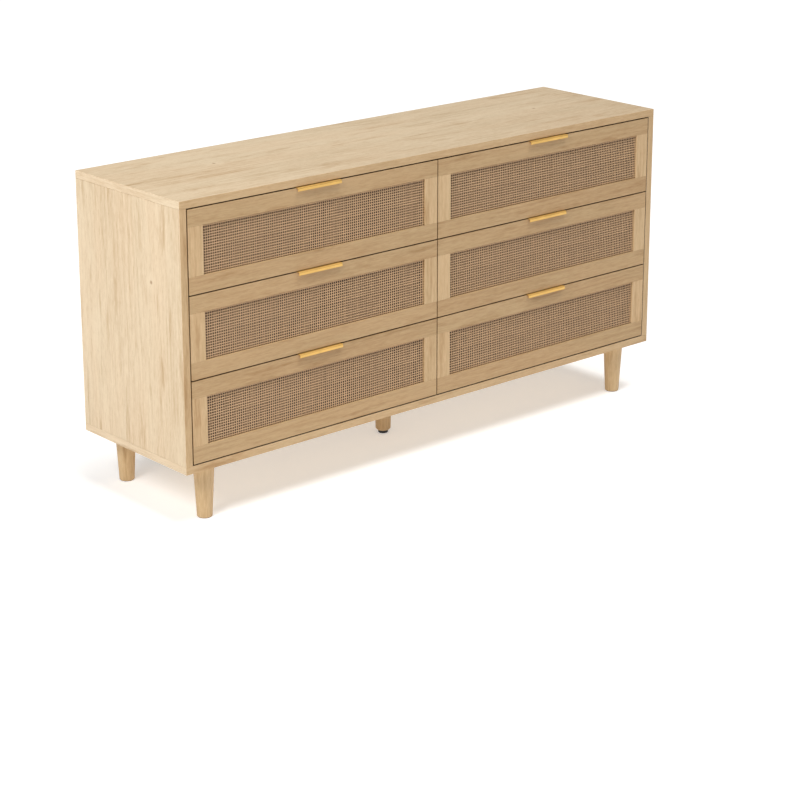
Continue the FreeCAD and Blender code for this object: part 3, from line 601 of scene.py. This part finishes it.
# ------------------------------------------------------------------ operators
class DRESSER_OT_case(bpy.types.Operator):
    """Finish the case: boards, back, legs and fittings"""

    bl_idname = "dresser.case"
    bl_label = "Case"

    def execute(self, context):
        low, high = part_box("top_panel")
        ends = (beyond(high[0] - EDGE_DEPTH), "yxz", PLAIN_TINT)
        at_front = before(low[1] + EDGE_DEPTH)
        # Front-facing board edges tinted darker and warmer: painted shade, as on the fronts.
        level_edge = (at_front, "xyz", FRONT_EDGE_SHADE)
        upright_edge = (at_front, "zyx", FRONT_EDGE_SHADE)
        dress("top_panel", oak("oak_top", "xyz", 1.0, [ends, level_edge]))
        dress("bottom_panel", oak("oak_bottom", "xyz", 2.0, [ends, level_edge]))
        dress("left_side_panel", oak("oak_left_side", "zyx", 3.0, [upright_edge]))
        dress("right_side_panel", oak("oak_right_side", "zyx", 5.0, [upright_edge]))
        dress("centre_divider", oak("oak_divider", "zyx", 6.0, knots=0.0))
        dress("back_panels", oak("oak_foil_back", "zxy", 7.0, tint=BOX_TINT, knots=0.0))
        # The legs' tint is partly their own wood and partly painted shade, darker as they stand under the
        # case.
        legs = oak("oak_legs", "zxy", 8.0, tint=LEG_TONE_AND_SHADE, knots=0.0)
        dress("corner_legs", legs)
        dress("centre_leg", legs)
        dress("levelling_foot", paint("black_plastic", BLACK_PLASTIC, 0.5))
        enamel = paint("white_enamel", WHITE_ENAMEL, 0.32)
        dress("case_runners", enamel)
        steel = zinc_steel()
        dress("case_fasteners", steel)
        dress("case_dowels", oak("beech_dowels", "zxy", 9.0, knots=0.0))
        nylon = paint("white_nylon", WHITE_NYLON, 0.45)
        for drawer in DRAWERS:
            dress(f"{drawer}_drawer_runners", enamel)
            dress(f"{drawer}_drawer_fasteners", steel)
            dress(f"{drawer}_drawer_rollers", nylon)
            dress(f"{drawer}_case_rollers", nylon)
        return {"FINISHED"}


class DRESSER_OT_fronts(bpy.types.Operator):
    """Finish the drawer fronts, with grain along the rails and up the stiles"""

    bl_idname = "dresser.fronts"
    bl_label = "Drawer fronts"

    def execute(self, context):
        for number, drawer in enumerate(DRAWERS):
            node = f"{drawer}_drawer_front"
            # The front's tints are partly the rails' and stiles' own wood and partly painted shade, darker
            # and warmer than the side and top.
            stiles = (self.stile_test(*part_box(node)), "zxy", STILE_TONE_AND_SHADE)
            finish = oak(f"oak_front_{drawer}", "xzy", 11.0 + number * 1.7, [stiles], tint=RAIL_TONE_AND_SHADE)
            dress(node, finish)
        return {"FINISHED"}

    @staticmethod
    def stile_test(low, high):
        """Test for the stiles: at the left or right edge, between the rails."""

        def in_stile(x, y, z):
            between = z.between(low[2] + FRAME_WIDTH, high[2] - FRAME_WIDTH)
            at_side = (x < low[0] + FRAME_WIDTH) + (x > high[0] - FRAME_WIDTH)
            return between * at_side * (y < low[1] + FRAME_DEPTH)

        return in_stile


class DRESSER_OT_boxes(bpy.types.Operator):
    """Finish the drawer boxes"""

    bl_idname = "dresser.boxes"
    bl_label = "Drawer boxes"

    def execute(self, context):
        for number, drawer in enumerate(DRAWERS):
            node = f"{drawer}_drawer_box"
            between_sides = (self.inner_test(*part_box(node)), "xzy", BOX_TINT)
            finish = oak(f"oak_box_{drawer}", "yzx", 31.0 + number * 1.3, [between_sides])
            dress(node, finish)
        return {"FINISHED"}

    @staticmethod
    def inner_test(low, high):
        """Test for the box's back and bottom, whose grain runs from side to side."""
        return lambda x, y, z: x.between(low[0] + BOX_SIDE, high[0] - BOX_SIDE)


class DRESSER_OT_cane(bpy.types.Operator):
    """Weave the cane in the six fronts over a near-black sheet of painted shade"""

    bl_idname = "dresser.cane"
    bl_label = "Woven cane"

    def execute(self, context):
        settings = context.scene.dresser_cane
        cane = cane_strand()
        shade_sheet = painted_shade_sheet()
        weave = None
        for drawer in DRAWERS:
            node = f"{drawer}_drawer_cane_panel"
            low, high = (Vector(corner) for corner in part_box(node))
            size = high - low
            middle = (low + high) / 2
            if weave is None:
                weave = woven_mesh(size.x, size.z, size.y - settings.shade_sheet)
                sheet = sheet_mesh("shade_sheet_mesh", size.x, size.z, settings.shade_sheet)
            body = f"{drawer}_drawer"
            place = Vector((middle.x, low.y + (size.y - settings.shade_sheet) / 2, middle.z))
            add_piece(f"{drawer}_cane_weave", weave, place, cane, body, node)
            # A near-black sheet behind the weave: painted shade seen through its holes.
            back = Vector((middle.x, high.y - settings.shade_sheet / 2, middle.z))
            add_piece(f"{drawer}_cane_shade_sheet", sheet, back, shade_sheet, body, node)
        return {"FINISHED"}


class DRESSER_OT_pulls(bpy.types.Operator):
    """Finish the finger pulls in satin brass"""

    bl_idname = "dresser.pulls"
    bl_label = "Finger pulls"

    def execute(self, context):
        brass = brushed_brass()
        for drawer in DRAWERS:
            dress(f"{drawer}_drawer_pull", brass)
        return {"FINISHED"}


class DRESSER_OT_studio(bpy.types.Operator):
    """Set up the pale floor, the soft lights and the camera"""

    bl_idname = "dresser.studio"
    bl_label = "Studio"

    def execute(self, context):
        scene = context.scene
        self.add_floor(scene)
        self.add_camera(scene)
        self.add_lights(scene)
        return {"FINISHED"}

    def add_floor(self, scene):
        """A pale floor, white to its far edge."""
        mesh = bpy.data.meshes.new("studio_floor")
        half = 60.0
        corners = [(-half, -half, 0), (half, -half, 0), (half, half, 0), (-half, half, 0)]
        mesh.from_pydata(corners, [], [(0, 1, 2, 3)])
        floor = bpy.data.objects.new("studio_floor", mesh)
        scene.collection.objects.link(floor)
        graph = Graph("pale_floor")
        pale = 0.82
        glow = 0.38
        graph.surface(base_color=(pale, pale, pale, 1.0), roughness=0.9)
        graph.surface(emission_color=WHITE, emission_strength=glow)
        mesh.materials.append(graph.material)

    def add_camera(self, scene):
        """The camera at three-quarter view from the front left."""
        settings = scene.dresser_studio
        data = bpy.data.cameras.new("studio_camera")
        data.lens = settings.lens
        data.sensor_width = 36.0
        data.shift_y = settings.rise
        camera = bpy.data.objects.new("studio_camera", data)
        camera.location = settings.camera_place
        camera.rotation_euler = Euler((math.pi / 2 - settings.camera_tilt, 0.0, -settings.camera_turn))
        scene.collection.objects.link(camera)
        scene.camera = camera

    def add_lights(self, scene):
        """A white room that sheds little light, a softbox at the left and a wide light overhead."""
        scene.view_settings.view_transform = "Standard"
        scene.world = bpy.data.worlds.new("studio_room")
        graph = Graph("studio_room", scene.world)
        seen = Value(graph, graph.node("ShaderNodeLightPath").outputs["Is Camera Ray"])
        glow = 0.18
        graph.surface(color=WHITE, strength=seen * (1.0 - glow) + glow)
        softbox_watts = 183.0
        softbox = self.add_light("left_softbox", "AREA", (-4.5, -1.3, 4.0), softbox_watts)
        softbox.shape = "DISK"
        softbox.size = 2.2
        overhead_strength = 0.68 * math.pi
        overhead = self.add_light("overhead_light", "SUN", (0.4, -0.9, 4.0), overhead_strength)
        overhead.angle = math.radians(30.0)

    def add_light(self, name, kind, place, energy):
        """A light that points from its place to the middle of the case."""
        data = bpy.data.lights.new(name, kind)
        data.energy = energy
        lamp = bpy.data.objects.new(name, data)
        lamp.location = place
        middle = Vector((0.0, 0.0, 0.4))
        lamp.rotation_euler = (Vector(place) - middle).to_track_quat("Z", "Y").to_euler()
        bpy.context.scene.collection.objects.link(lamp)
        return data


OPERATORS = (
    DRESSER_OT_case,
    DRESSER_OT_fronts,
    DRESSER_OT_boxes,
    DRESSER_OT_cane,
    DRESSER_OT_pulls,
    DRESSER_OT_studio,
)
SETTINGS = {
    "dresser_oak": OakSettings,
    "dresser_cane": CaneSettings,
    "dresser_studio": StudioSettings,
}


class DRESSER_PT_steps(bpy.types.Panel):
    """The dresser's pieces, in the order they are made"""

    bl_label = "Dresser"
    bl_idname = "DRESSER_PT_steps"
    bl_space_type = "VIEW_3D"
    bl_region_type = "UI"
    bl_category = "Dresser"

    def draw(self, context):
        for operator in OPERATORS:
            self.layout.operator(operator.bl_idname)
        for name, group in SETTINGS.items():
            box = self.layout.box()
            for prop in group.__annotations__:
                box.prop(getattr(context.scene, name), prop)


def register():
    for group in SETTINGS.values():
        bpy.utils.register_class(group)
    for name, group in SETTINGS.items():
        setattr(bpy.types.Scene, name, bpy.props.PointerProperty(type=group))
    for operator in OPERATORS:
        bpy.utils.register_class(operator)
    bpy.utils.register_class(DRESSER_PT_steps)


def unregister():
    bpy.utils.unregister_class(DRESSER_PT_steps)
    for operator in reversed(OPERATORS):
        bpy.utils.unregister_class(operator)
    for name, group in SETTINGS.items():
        delattr(bpy.types.Scene, name)
        bpy.utils.unregister_class(group)


def main():
    """Makes the whole dresser and its studio."""
    register()
    for operator in OPERATORS:
        step = operator.bl_idname.split(".")[1]
        getattr(bpy.ops.dresser, step)()


if __name__ == "__main__":
    main()
